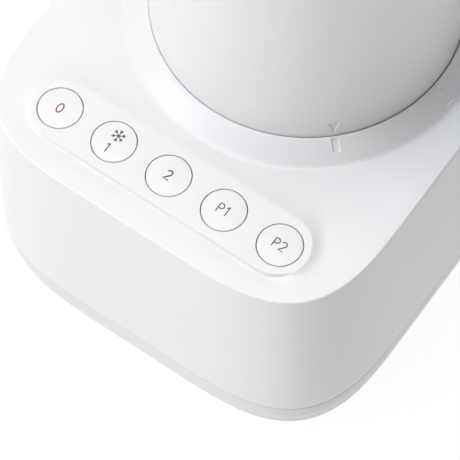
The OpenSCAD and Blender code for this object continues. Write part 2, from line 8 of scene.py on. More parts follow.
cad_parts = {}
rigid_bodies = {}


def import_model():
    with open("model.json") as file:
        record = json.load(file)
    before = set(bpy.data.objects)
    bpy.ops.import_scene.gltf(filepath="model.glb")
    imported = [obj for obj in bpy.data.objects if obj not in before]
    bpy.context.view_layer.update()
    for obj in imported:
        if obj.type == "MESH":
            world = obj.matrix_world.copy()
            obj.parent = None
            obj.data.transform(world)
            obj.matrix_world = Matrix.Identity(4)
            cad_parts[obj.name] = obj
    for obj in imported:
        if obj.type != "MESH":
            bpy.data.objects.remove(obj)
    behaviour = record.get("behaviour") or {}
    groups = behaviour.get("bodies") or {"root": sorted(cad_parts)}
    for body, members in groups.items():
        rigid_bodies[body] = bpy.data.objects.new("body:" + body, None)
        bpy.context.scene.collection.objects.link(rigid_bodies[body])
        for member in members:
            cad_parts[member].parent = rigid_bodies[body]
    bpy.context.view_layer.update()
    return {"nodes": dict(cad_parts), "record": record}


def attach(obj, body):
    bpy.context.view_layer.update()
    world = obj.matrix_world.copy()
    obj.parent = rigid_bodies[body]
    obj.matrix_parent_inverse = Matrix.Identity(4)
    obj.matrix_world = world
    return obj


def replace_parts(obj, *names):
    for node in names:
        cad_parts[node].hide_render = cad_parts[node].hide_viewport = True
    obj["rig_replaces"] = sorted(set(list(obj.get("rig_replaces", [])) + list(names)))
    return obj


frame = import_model()
NODES = frame["nodes"]

# ---------------------------------------------------------------- sizes, in mm
BASE_W, BASE_D, FRONT = 175.7, 212.0, -123.4
BACK = FRONT + BASE_D
RIM, SEAM, FOOT = 118.0, 23.4, 3.3
DRAFT, CN = 4.47, 3.4
WALL = 2.6
COLLAR_R, SEAT_R, LIP = 64.9, 65.5, 125.5
FLARE_R = 77.0
PITCH, BTN_Y, BTN_X0 = 27.0, -96.6, -0.4
BTN_R, BTN_HOLE = 9.15, 9.6
PANEL = 119.35
PANEL_HH, PANEL_HL = 13.9, 66.3
GLASS_TOP = 378.0
DECK_U = RIM - WALL


# ---------------------------------------------------------------- mesh helpers
def make_mesh(name, verts, faces, sharp=32.0, smooth=True):
    me = bpy.data.meshes.new(name)
    me.from_pydata([(x * 0.001, y * 0.001, z * 0.001) for x, y, z in verts], [], faces)
    me.validate()
    import bmesh
    bm = bmesh.new()
    bm.from_mesh(me)
    bmesh.ops.remove_doubles(bm, verts=bm.verts, dist=2e-7)
    bmesh.ops.dissolve_degenerate(bm, edges=bm.edges, dist=1e-7)
    bmesh.ops.recalc_face_normals(bm, faces=bm.faces)
    bm.to_mesh(me)
    bm.free()
    if smooth:
        me.polygons.foreach_set("use_smooth", [True] * len(me.polygons))
        me.set_sharp_from_angle(angle=math.radians(sharp))
    ob = bpy.data.objects.new(name, me)
    bpy.context.scene.collection.objects.link(ob)
    return ob


def strip(rings, loop=False, caps=True, closed=True, base=0):
    """Faces through a list of rings that all have the same number of points."""
    n, m = len(rings[0]), len(rings)
    verts = [p for r in rings for p in r]
    faces = []
    for j in range(m if loop else m - 1):
        a0, b0 = base + j * n, base + ((j + 1) % m) * n
        for i in range(n if closed else n - 1):
            k = (i + 1) % n
            faces.append((a0 + i, a0 + k, b0 + k, b0 + i))
    if caps and not loop:
        faces.append(tuple(base + i for i in range(n - 1, -1, -1)))
        faces.append(tuple(base + (m - 1) * n + i for i in range(n)))
    return verts, faces


def fillet(points, closed=True, seg=6):
    """2D outline with rounded corners. points are (x, y) or (x, y, radius)."""
    n = len(points)
    out = []
    for i, p in enumerate(points):
        r = p[2] if len(p) > 2 else 0.0
        P = np.array(p[:2], float)
        if r <= 0 or (not closed and i in (0, n - 1)):
            out.append(tuple(P))
            continue
        A = np.array(points[(i - 1) % n][:2], float)
        B = np.array(points[(i + 1) % n][:2], float)
        u, v = A - P, B - P
        lu, lv = np.linalg.norm(u), np.linalg.norm(v)
        u, v = u / lu, v / lv
        ang = math.acos(max(-1, min(1, float(u @ v))))
        if ang > math.pi - 1e-3 or ang < 1e-3:
            out.append(tuple(P))
            continue
        t = min(r / math.tan(ang / 2), 0.49 * lu, 0.49 * lv)
        rr = t * math.tan(ang / 2)
        c = P + (u + v) / np.linalg.norm(u + v) * rr / math.sin(ang / 2)
        s, e = P + u * t, P + v * t
        a0 = math.atan2(*(s - c)[::-1])
        a1 = math.atan2(*(e - c)[::-1])
        d = (a1 - a0 + math.pi) % (2 * math.pi) - math.pi
        for k in range(seg + 1):
            a = a0 + d * k / seg
            out.append((c[0] + rr * math.cos(a), c[1] + rr * math.sin(a)))
    return out


def lathe(name, profile, n=160, closed=True, sharp=32.0, cx=0.0, cy=0.0):
    """Turns a closed (r, z) outline about the vertical through (cx, cy)."""
    ang = [2 * math.pi * k / n for k in range(n)]
    prof = []
    for p in profile:
        if not prof or abs(prof[-1][0] - p[0]) + abs(prof[-1][1] - p[1]) > 1e-5:
            prof.append(p)
    verts = [(cx + r * math.cos(a), cy + r * math.sin(a), z) for r, z in prof for a in ang]
    faces = []
    m = len(prof)
    for j in range(m if closed else m - 1):
        a0, b0 = j * n, ((j + 1) % m) * n
        if prof[j][0] < 1e-6 and prof[(j + 1) % m][0] < 1e-6:
            continue
        for i in range(n):
            k = (i + 1) % n
            faces.append((a0 + i, a0 + k, b0 + k, b0 + i))
    return make_mesh(name, verts, faces, sharp)


def se(t):
    return 1.0 / (abs(math.cos(t)) ** CN + abs(math.sin(t)) ** CN) ** (1 / CN)


def outline(z, d, c, kq=32, ks=10):
    """Base outline at height z, pushed out by d, with corner size c; CCW from above."""
    hw, yf, yb = BASE_W / 2 + d, FRONT - d, BACK + d
    pts = []
    for q in range(4):
        cx = hw - c if q in (0, 3) else c - hw
        cy = yb - c if q < 2 else yf + c
        arc = []
        for k in range(kq + 1):
            t = math.pi / 2 * k / kq
            a = math.pi / 2 * q + t
            arc.append((cx + c * se(t) * math.cos(a), cy + c * se(t) * math.sin(a)))
        pts += arc
        nq = (q + 1) % 4
        nx = hw - c if nq in (0, 3) else c - hw
        ny = yb - c if nq < 2 else yf + c
        a = math.pi / 2 * nq
        nxt = (nx + c * math.cos(a), ny + c * math.sin(a))
        for k in range(1, ks):
            f = k / ks
            pts.append((arc[-1][0] * (1 - f) + nxt[0] * f, arc[-1][1] * (1 - f) + nxt[1] * f))
    return [(x, y, z) for x, y in pts]


def wall_d(z):
    u = (RIM - z) / (RIM - SEAM)
    return DRAFT * u + 0.25 * 4 * u * (1 - u)


def wall_c(z):
    return 66.84 + (74.2 - 66.84) * (RIM - z) / (RIM - SEAM)


def wring(z, inset=0.0):
    return outline(z, wall_d(z) - inset, wall_c(z) - inset)


# ---------------------------------------------------------------- materials
def new_mat(name):
    m = bpy.data.materials.new(name)
    m.use_nodes = True
    nt = m.node_tree
    nt.nodes.clear()
    out = nt.nodes.new("ShaderNodeOutputMaterial")
    bs = nt.nodes.new("ShaderNodeBsdfPrincipled")
    nt.links.new(bs.outputs[0], out.inputs[0])
    tc = nt.nodes.new("ShaderNodeTexCoord")
    return m, nt, bs, tc


def noise(nt, tc, scale, detail=4.0, rough=0.55, stretch=None):
    src = tc.outputs["Object"]
    if stretch:
        mp = nt.nodes.new("ShaderNodeMapping")
        mp.inputs["Scale"].default_value = stretch
        nt.links.new(src, mp.inputs["Vector"])
        src = mp.outputs["Vector"]
    n = nt.nodes.new("ShaderNodeTexNoise")
    n.inputs["Scale"].default_value = scale
    n.inputs["Detail"].default_value = detail
    n.inputs["Roughness"].default_value = rough
    nt.links.new(src, n.inputs["Vector"])
    return n.outputs["Fac"]


def ramp(nt, fac, lo, hi, c0, c1):
    r = nt.nodes.new("ShaderNodeValToRGB")
    r.color_ramp.elements[0].position = lo
    r.color_ramp.elements[1].position = hi
    r.color_ramp.elements[0].color = (*c0, 1)
    r.color_ramp.elements[1].color = (*c1, 1)
    nt.links.new(fac, r.inputs[0])
    return r.outputs[0]


def maprange(nt, fac, a, b, lo=0.3, hi=0.7):
    r = nt.nodes.new("ShaderNodeMapRange")
    r.inputs["From Min"].default_value = lo
    r.inputs["From Max"].default_value = hi
    r.inputs["To Min"].default_value = a
    r.inputs["To Max"].default_value = b
    nt.links.new(fac, r.inputs["Value"])
    return r.outputs["Result"]


def bump(nt, bs, height, strength, dist):
    b = nt.nodes.new("ShaderNodeBump")
    b.inputs["Strength"].default_value = strength
    b.inputs["Distance"].default_value = dist
    nt.links.new(height, b.inputs["Height"])
    nt.links.new(b.outputs["Normal"], bs.inputs["Normal"])
    return b


def plastic(name, col, rough=0.38, grain=1500.0, grain_h=0.00001, tint=0.006, strength=0.06, ior=1.47, coat=0.0):
    m, nt, bs, tc = new_mat(name)
    big = noise(nt, tc, 14.0, 3.0)
    lo = tuple(max(0, c - tint) for c in col)
    hi = tuple(min(1, c + tint * 0.5) for c in col)
    nt.links.new(ramp(nt, big, 0.15, 0.85, lo, hi), bs.inputs["Base Color"])
    mid = noise(nt, tc, 160.0, 3.0)
    nt.links.new(maprange(nt, mid, rough - 0.04, rough + 0.04, 0.0, 1.0), bs.inputs["Roughness"])
    fine = noise(nt, tc, grain, 2.0, 0.6)
    bump(nt, bs, fine, strength, grain_h)
    bs.inputs["IOR"].default_value = ior
    bs.inputs["Coat Weight"].default_value = coat
    bs.inputs["Coat Roughness"].default_value = 0.12
    return m


def rubber(name, col, rough=0.75):
    m, nt, bs, tc = new_mat(name)
    fine = noise(nt, tc, 1400.0, 3.0, 0.65)
    nt.links.new(ramp(nt, noise(nt, tc, 60.0), 0.3, 0.7, tuple(c * 0.85 for c in col), tuple(min(1, c * 1.15) for c in col)), bs.inputs["Base Color"])
    nt.links.new(maprange(nt, fine, rough - 0.08, rough + 0.08), bs.inputs["Roughness"])
    bump(nt, bs, fine, 0.4, 0.00004)
    bs.inputs["Specular IOR Level"].default_value = 0.35
    return m


def metal(name, col, rough=0.28, brushed=None, scale=700.0, depth=0.25):
    m, nt, bs, tc = new_mat(name)
    n = noise(nt, tc, scale, 4.0, 0.6, brushed)
    nt.links.new(ramp(nt, n, 0.3, 0.7, tuple(c * 0.88 for c in col), tuple(min(1, c * 1.05) for c in col)), bs.inputs["Base Color"])
    nt.links.new(maprange(nt, n, max(0.04, rough - 0.07), rough + 0.07), bs.inputs["Roughness"])
    bump(nt, bs, n, depth, 0.00001)
    bs.inputs["Metallic"].default_value = 1.0
    return m


def glass(name, tint=(0.955, 0.985, 0.975), rough=0.0, ior=1.5):
    m, nt, bs, tc = new_mat(name)
    n = noise(nt, tc, 22.0, 2.0)
    nt.links.new(ramp(nt, n, 0.3, 0.7, tint, tuple(min(1, t + 0.01) for t in tint)), bs.inputs["Base Color"])
    nt.links.new(maprange(nt, noise(nt, tc, 220.0, 3.0), rough, rough + 0.02), bs.inputs["Roughness"])
    bump(nt, bs, n, 0.12, 0.0002)
    bs.inputs["Transmission Weight"].default_value = 1.0
    bs.inputs["IOR"].default_value = ior
    return m


W = (0.86, 0.862, 0.86)
MAT = {
    "housing_white": plastic("satin_white_housing", W, 0.34),
    "cover_white": plastic("satin_white_cover", (0.80, 0.80, 0.795), 0.42, grain=700),
    "collar_white": plastic("satin_white_collar", W, 0.34),
    "handle_white": plastic("satin_white_handle", W, 0.34),
    "lid_white": plastic("satin_white_lid", W, 0.34),
    "button_white": plastic("satin_white_button", (0.87, 0.87, 0.87), 0.36),
    "trim_grey": plastic("trim_grey", (0.7, 0.7, 0.69), 0.45),
    "ring_grey": plastic("ring_grey", (0.66, 0.66, 0.65), 0.4),
    "holder_grey": plastic("holder_grey", (0.72, 0.72, 0.71), 0.35),
    "black_plastic": plastic("black_plastic", (0.02, 0.02, 0.022), 0.4, tint=0.004),
    "fan_grey": plastic("fan_grey", (0.07, 0.075, 0.085), 0.42, tint=0.01),
    "coupler_black": plastic("coupler_black", (0.018, 0.018, 0.02), 0.48, tint=0.004, strength=0.4),
    "capacitor_yellow": plastic("capacitor_yellow", (0.72, 0.42, 0.03), 0.25),
    "relay_blue": plastic("relay_blue", (0.015, 0.05, 0.28), 0.25, tint=0.008),
    "terminal_green": plastic("terminal_green", (0.02, 0.2, 0.06), 0.42, tint=0.01),
    "circuit_board": plastic("circuit_board", (0.01, 0.11, 0.045), 0.3, grain=500, tint=0.008),
    "carbon": plastic("carbon", (0.02, 0.02, 0.022), 0.6, grain=1500, tint=0.006, strength=0.6),
    "foot_rubber": rubber("foot_rubber", (0.045, 0.045, 0.048)),
    "boot_rubber": rubber("boot_rubber", (0.12, 0.125, 0.13)),
    "damper_rubber": rubber("damper_rubber", (0.03, 0.03, 0.032)),
    "seal_rubber": rubber("seal_rubber", (0.025, 0.025, 0.027), 0.55),
    "silicone": rubber("silicone", (0.62, 0.62, 0.6), 0.5),
    "screw_steel": metal("screw_steel", (0.62, 0.63, 0.62), 0.3),
    "lamination_steel": metal("lamination_steel", (0.27, 0.28, 0.3), 0.42, (1, 1, 60), 120.0, 0.5),
    "copper_wire": metal("copper_wire", (0.62, 0.24, 0.08), 0.3, (1, 1, 6), 500.0, 0.6),
    "commutator_copper": metal("commutator_copper", (0.7, 0.34, 0.17), 0.25, (1, 1, 30), 300.0),
    "cast_aluminium": metal("cast_aluminium", (0.6, 0.61, 0.62), 0.45, None, 450.0, 0.5),
    "bearing_steel": metal("bearing_steel", (0.66, 0.67, 0.68), 0.16),
    "shaft_steel": metal("shaft_steel", (0.66, 0.67, 0.68), 0.2, (1, 1, 40), 200.0),
    "spring_steel": metal("spring_steel", (0.55, 0.56, 0.57), 0.25),
    "blade_steel": metal("blade_steel", (0.7, 0.71, 0.72), 0.22, (1, 14, 1), 300.0),
    "nut_steel": metal("nut_steel", (0.7, 0.71, 0.72), 0.14),
    "band_steel": metal("band_steel", (0.66, 0.67, 0.68), 0.26, (1, 1, 40), 260.0),
    "bush_bronze": metal("bush_bronze", (0.5, 0.3, 0.12), 0.4),
    "brass": metal("brass", (0.66, 0.46, 0.18), 0.3),
    "jug_glass": glass("jug_glass"),
    "cap_clear": glass("cap_clear", (0.93, 0.955, 0.96), 0.02, 1.49),
}
SLOT = {s["node"]: s["material_slot"] for s in frame["record"]["subparts"]}
BODY = {n: b for b, ns in frame["record"]["behaviour"]["bodies"].items() for n in ns}


def piece(ob, node, slot=None, only=True):
    """ob stands for a CAD node: it rides on its body and takes its material."""
    s = slot or SLOT[node]
    ob.data.materials.clear()
    ob.data.materials.append(MAT[s])
    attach(ob, BODY[node])
    if only:
        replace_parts(ob, node)
    return ob


# ---------------------------------------------------------------- upper housing
CONE_FOOT = FLARE_R - 1.5
CONE = (LIP - 0.15 - RIM) / (CONE_FOOT - SEAT_R - 0.3)


def flare_z(r):
    """Extra height of the seat flare at radius r from the drive axis: a cone with a small fillet at its foot."""
    if r >= FLARE_R:
        return 0.0
    c = 1.5 * math.cos(math.atan(CONE))
    if r <= CONE_FOOT - c:
        return (CONE_FOOT - r) * CONE
    # fillet: the point of the curve at this radius
    lo, hi = 0.0, 1.0
    for _ in range(30):
        u = (lo + hi) / 2
        if FLARE_R * (1 - u) ** 2 + 2 * CONE_FOOT * u * (1 - u) + (CONE_FOOT - c) * u * u > r:
            lo = u
        else:
            hi = u
    return c * CONE * u * u


def panel_dist(x, y):
    """Signed distance outside the button panel's stadium outline."""
    hx = PANEL_HL - PANEL_HH
    dx = max(0.0, abs(x) - hx)
    return math.hypot(dx, y - BTN_Y) - PANEL_HH


FOOT_W = 6.0


def deck_z(x, y):
    r = math.hypot(x, y)
    z = RIM + flare_z(r)
    d = panel_dist(x, y)
    if d < 11.0:
        z += panel_h(x, y, d)
    if SEAT_R < r < FLARE_R:
        for m, ramp_w in zip(MARKS, (0.0, 5.6)):
            # how far inside each side of the mark's outline; the second mark's floor is a ramp up to its first side
            e = [((bx - ax) * (y - ay) - (by - ay) * (x - ax)) / math.hypot(bx - ax, by - ay) for (ax, ay), (bx, by) in zip(m, m[1:] + m[:1])]
            if min(e) > 0:
                z -= MARK_DEPTH * min(1.0, min(e[1:] if ramp_w else e) / MARK_WALL) * (1.5 * min(1.0, e[0] / ramp_w) if ramp_w else 1.0)
    return z


# height at which the hollow round the panel's foot starts, by the direction it faces, in degrees
FOOT_H = [(-180, 1.35), (-165, 0.8), (-150, 0.2), (-135, -0.3), (-110, -0.6), (-95, -0.85), (-84, -0.85), (-60, -0.6), (-45, 0.6), (-32, 1.35), (180, 1.35)]
# how far out it runs: wide along the back, where the panel eases into the deck
FOOT_RUN = [(-180, 11), (-150, 6), (45, 6), (70, 9), (90, 11), (180, 11)]
# half the width of the panel's round top edge: softer along its back than round its ends and front
EDGE_W = [(-180, 0.6), (-150, 0.4), (45, 0.4), (80, 0.7), (180, 0.7)]


def panel_h(x, y, d):
    """Height of the panel and of the hollow round its foot over the deck, at distance d outside its edge."""
    h = PANEL - RIM
    hx = PANEL_HL - PANEL_HH
    phi = math.degrees(math.atan2(y - BTN_Y, x - max(-hx, min(hx, x))))
    a = float(np.interp(phi, [p[0] for p in FOOT_H], [p[1] for p in FOOT_H]))
    w = float(np.interp(phi, [p[0] for p in FOOT_RUN], [p[1] for p in FOOT_RUN]))
    e = float(np.interp(phi, [p[0] for p in EDGE_W], [p[1] for p in EDGE_W]))
    if d <= -e:
        return h
    if d >= w:
        return 0.0
    if d < e:
        # round top edge, tangent to the flat top and to the hollow
        t = (d + e) / (2 * e)
        h1 = a * (1 - e / w) ** 2
        m1 = -2 * a / w * (1 - e / w) * 2 * e
        return h * (2 * t ** 3 - 3 * t * t + 1) + h1 * (3 * t * t - 2 * t ** 3) + m1 * (t ** 3 - t * t)
    return a * (1 - d / w) ** 2


def stadium(off, nc=40, ns=44):
    hx, r = PANEL_HL - PANEL_HH, PANEL_HH + off
    pts = []
    for s, a0 in ((1, -math.pi / 2), (-1, math.pi / 2)):
        for k in range(nc + 1):
            a = a0 + math.pi * k / nc
            pts.append((s * hx + r * math.cos(a), BTN_Y + r * math.sin(a)))
        y = BTN_Y + s * r
        for k in range(1, ns):
            pts.append((s * hx - s * 2 * hx * k / ns, y))
    return pts


def circle(r, n, cx=0.0, cy=0.0):
    return [(cx + r * math.cos(2 * math.pi * k / n), cy + r * math.sin(2 * math.pi * k / n)) for k in range(n)]


def mark_polys():
    """Outlines of the two recessed marks on the flare."""
    def rot(pts, a):
        c, s = math.cos(math.radians(a)), math.sin(math.radians(a))
        return [(x * c - y * s, x * s + y * c) for x, y in pts]
    m1 = rot([(SEAT_R + 0.34, -1.6), (70.7, -1.6), (70.7, 1.6), (SEAT_R + 0.34, 1.6)], -45.8)
    m2 = rot([(SEAT_R + 0.6, -5.45), (73.4, -3.5), (73.9, 2.9), (SEAT_R + 0.4, 0.35)], -3.9)
    return [m1, m2]


MARKS = mark_polys()
MARK_DEPTH, MARK_WALL = 0.55, 0.22


def resample(poly, step):
    out = []
    for i in range(len(poly)):
        a, b = np.array(poly[i]), np.array(poly[(i + 1) % len(poly)])
        n = max(1, int(round(np.linalg.norm(b - a) / step)))
        out += [tuple(a + (b - a) * k / n) for k in range(n)]
    return out


def shrink(poly, d):
    """Moves each side of a convex CCW polygon inwards by d."""
    n = len(poly)
    P = [np.array(p, float) for p in poly]
    lines = []
    for i in range(n):
        t = P[(i + 1) % n] - P[i]
        t /= np.linalg.norm(t)
        nrm = np.array([-t[1], t[0]])
        lines.append((P[i] + nrm * d, t))
    out = []
    for i in range(n):
        (p, t), (q, s) = lines[i - 1], lines[i]
        A = np.array([[t[0], -s[0]], [t[1], -s[1]]])
        k = np.linalg.solve(A, q - p)
        out.append(tuple(p + t * k[0]))
    return out


def build_housing():
    rim_in = 0.75          # how far in the deck starts, after the rim's round edge
    edge = outline(RIM, -rim_in, 66.84 - rim_in)
    edge2 = [(x, y) for x, y, z in edge]
    lip_o = SEAT_R + 0.3
    pts, cons, zs = [], [], []

    def add_loop(poly, z):
        i0 = len(pts)
        for p in poly:
            pts.append(Vector((p[0], p[1])))
            zs.append(z if z is not None else deck_z(*p))
        n = len(poly)
        cons.extend([(i0 + k, i0 + (k + 1) % n) for k in range(n)])
        return list(range(i0, i0 + n))

    rim_idx = add_loop(edge2, RIM)
    add_loop(circle(lip_o, 240), None)
    for r in (67.2, 69.2, 71.2, 73.2, CONE_FOOT - 1.2, 74.7, 75.1, 75.5, 75.9, 76.3, 76.7, FLARE_R, 77.4):
        add_loop(circle(r, 240), None)
    for m in MARKS:
        add_loop(resample(m, 0.7), None)
        add_loop(resample(shrink(m, MARK_WALL), 0.7), None)
    for off in (FOOT_W + 0.6, FOOT_W, 5.1, 4.3, 3.5, 2.8, 2.1, 1.5, 0.9, 0.65, 0.4, 0.27, 0.13, 0.0, -0.13, -0.27, -0.4, -0.65, -0.9):
        add_loop(stadium(off), None)
    for off in (6.9, 8.0, 9.4, 11.0):
        for x, y in stadium(off):
            if y > BTN_Y + 1.0:
                pts.append(Vector((x, y)))
                zs.append(deck_z(x, y))
    hole_idx = []
    for k in range(5):
        cx = BTN_X0 + (k - 2) * PITCH
        add_loop(circle(BTN_HOLE + 0.45, 96, cx, BTN_Y), PANEL)
        add_loop(circle(BTN_HOLE + 0.12, 96, cx, BTN_Y), PANEL - 0.03)
        hole_idx.append(add_loop(circle(BTN_HOLE, 96, cx, BTN_Y), PANEL - 0.15))
    # fill grid over the plain parts of the deck
    inner = [(x, y) for x, y, z in outline(0, -rim_in - 2.0, 66.84 - rim_in - 2.0)]
    step = 4.0
    for ix in range(-24, 25):
        for iy in range(-34, 25):
            x, y = ix * step + (iy % 2) * step / 2, iy * step
            r = math.hypot(x, y)
            d = panel_dist(x, y)
            hw, yf, yb = BASE_W / 2 - 4.5, FRONT + 4.5, BACK - 4.5
            c = 62.0
            qx, qy = abs(x) - (hw - c), max(y - (yb - c), (yf + c) - y)
            if qx > c or qy > c or (qx > 0 and qy > 0 and (qx / c) ** CN + (qy / c) ** CN > 0.985):
                continue
            if abs(x) > hw - 0.5 or y > yb - 0.5 or y < yf + 0.5:
                continue
            if r < FLARE_R + 2.0 or d < FOOT_W + 2.0:
                continue
            pts.append(Vector((x, y)))
            zs.append(RIM)
    out_v, out_e, out_f, orig_v, orig_e, orig_f = delaunay_2d_cdt(pts, cons, [], 0, 1e-5, True)
    Z = []
    for v, o in zip(out_v, orig_v):
        Z.append(zs[o[0]] if o else deck_z(v.x, v.y))
    V = [(v.x, v.y, z) for v, z in zip(out_v, Z)]
    F = []
    for f in out_f:
        cx = sum(out_v[i].x for i in f) / len(f)
        cy = sum(out_v[i].y for i in f) / len(f)
        if math.hypot(cx, cy) < lip_o - 0.02:
            continue
        if any(math.hypot(cx - (BTN_X0 + (k - 2) * PITCH), cy - BTN_Y) < BTN_HOLE - 0.01 for k in range(5)):
            continue
        F.append(tuple(f))
    # rim edge, outside wall, parting edge, inside wall
    rings = []
    R = rim_in
    for k in range(0, 9):
        a = math.pi / 2 * k / 8
        inset = R * (1 - math.sin(a))
        z = RIM - R * (1 - math.cos(a))
        rings.append(outline(z, -inset + wall_d(z) * (k / 8), 66.84 - inset))
    for z in (112, 104, 96, 86, 76, 66, 56, 46, 36, 28, SEAM + 0.9):
        rings.append(wring(z))
    rings.append(wring(SEAM + 0.35, 0.12))
    rings.append(wring(SEAM + 0.2, 0.4))
    rings.append(wring(SEAM + 0.2, WALL - 0.2))
    rings.append(wring(SEAM + 0.2, WALL))
    for z in (40, 60, 80, 100, DECK_U - 3):
        rings.append(wring(z, WALL))
    rings.append(wring(DECK_U - 0.9, WALL + 0.7))
    rings.append(wring(DECK_U, WALL + 2.6))
    b = len(V)
    v2, f2 = strip(rings, caps=False, base=b)
    V += v2
    F += f2
    # underside of the deck, with the same holes: a plain flat sheet
    n_in = len(rings[-1])
    base_in = b + (len(rings) - 1) * n_in
    pts2 = [Vector((p[0], p[1])) for p in rings[-1]]
    cons2 = [(k, (k + 1) % n_in) for k in range(n_in)]
    holes2 = [(BTN_X0 + (k - 2) * PITCH, BTN_Y, BTN_HOLE, 96) for k in range(5)] + [(0, 0, 13.0, 96), (0, 56.5, 2.56, 24)]
    hidx = []
    for cx, cy, r, n in holes2:
        i0 = len(pts2)
        pts2 += [Vector(p) for p in circle(r, n, cx, cy)]
        cons2 += [(i0 + k, i0 + (k + 1) % n) for k in range(n)]
        hidx.append(list(range(i0, i0 + n)))
    ov, oe, of_, og, _, _ = delaunay_2d_cdt(pts2, cons2, [], 0, 1e-5, True)
    b2 = len(V)
    V += [(v.x, v.y, DECK_U) for v in ov]
    for f in of_:
        cx = sum(ov[i].x for i in f) / len(f)
        cy = sum(ov[i].y for i in f) / len(f)
        if any(math.hypot(cx - hx, cy - hy) < hr - 0.01 for hx, hy, hr, hn in holes2):
            continue
        F.append(tuple(b2 + i for i in f))
    # button hole walls
    for k in range(5):
        cx = BTN_X0 + (k - 2) * PITCH
        c3 = [[(x, y, z) for x, y in circle(BTN_HOLE, 96, cx, BTN_Y)] for z in (PANEL - 0.15, PANEL - 1.0, DECK_U)]
        v3, f3 = strip(c3, caps=False, base=len(V))
        V += v3
        F += f3
    # lip, seat wall, seat floor with guide rib and hub, down to the seal's bore
    prof = fillet([(lip_o, RIM + flare_z(lip_o)), (SEAT_R - 0.3, LIP, 0.15), (SEAT_R - 0.3, RIM, 1.0), (51.7, RIM, 0.5), (51.7, RIM + 3.5, 0.4),
                   (49.7, RIM + 3.5, 0.4), (49.7, RIM, 0.8), (13, RIM, 0.8), (13, RIM + 3, 0.6), (9, RIM + 3, 0.4), (9, DECK_U - 3.4, 0.3),
                   (13, DECK_U - 3.4, 0.3), (13, DECK_U)], closed=False)
    n = 240
    a0 = len(V)
    ang = [2 * math.pi * k / n for k in range(n)]
    for r, z in prof:
        # the jug stands a hair to one side in its seat, so the gap round it is wider on the right
        ox = 0.22 if 60 < r < lip_o - 0.01 else 0.0
        V += [(ox + r * math.cos(a), r * math.sin(a), z) for a in ang]
    for j in range(len(prof) - 1):
        for i in range(n):
            k = (i + 1) % n
            F.append((a0 + j * n + i, a0 + j * n + k, a0 + (j + 1) * n + k, a0 + (j + 1) * n + i))
    return make_mesh("housing_shell", V, F, sharp=38)


housing = piece(build_housing(), "upper_housing")
# ---------------------------------------------------------------- bottom cover


def plate_with_holes(outer, z0, z1, loops):
    """Flat plate between z0 and z1 with straight holes; outer and loops are lists of (x, y). Returns verts, faces without the outer wall."""
    V, F = [], []
    pts = [Vector(p) for p in outer]
    cons = [(k, (k + 1) % len(outer)) for k in range(len(outer))]
    for lp in loops:
        i0 = len(pts)
        pts += [Vector(p) for p in lp]
        cons += [(i0 + k, i0 + (k + 1) % len(lp)) for k in range(len(lp))]
    ov, _, of_, _, _, _ = delaunay_2d_cdt(pts, cons, [], 0, 1e-5, True)
    polys = [np.array(lp) for lp in loops]

    def in_poly(P, x, y):
        c = False
        j = len(P) - 1
        for i in range(len(P)):
            if (P[i][1] > y) != (P[j][1] > y) and x < (P[j][0] - P[i][0]) * (y - P[i][1]) / (P[j][1] - P[i][1]) + P[i][0]:
                c = not c
            j = i
        return c
    keep = []
    for f in of_:
        cx = sum(ov[i].x for i in f) / len(f)
        cy = sum(ov[i].y for i in f) / len(f)
        if not any(in_poly(P, cx, cy) for P in polys):
            keep.append(tuple(f))
    for z in (z0, z1):
        b = len(V)
        V += [(v.x, v.y, z) for v in ov]
        F += [tuple(b + i for i in f) for f in keep]
    for lp in loops:
        v, f = strip([[(x, y, z) for x, y in lp] for z in (z0, z1)], caps=False, base=len(V))
        V += v
        F += f
    return V, F


FEET = [(52, -97), (-52, -97), (52, 62), (-52, 62)]
POSTS = [(70, -100), (-70, -100), (70, 66), (-70, 66)]


def slot_loop(cx, cy, w, l, n=8):
    """A slot along Y with round ends."""
    pts = []
    for s, a0 in ((1, 0.0), (-1, math.pi)):
        for k in range(n + 1):
            a = a0 + math.pi * k / n
            pts.append((cx + w / 2 * math.cos(a), cy + s * (l / 2 - w / 2) + w / 2 * math.sin(a)))
    return pts


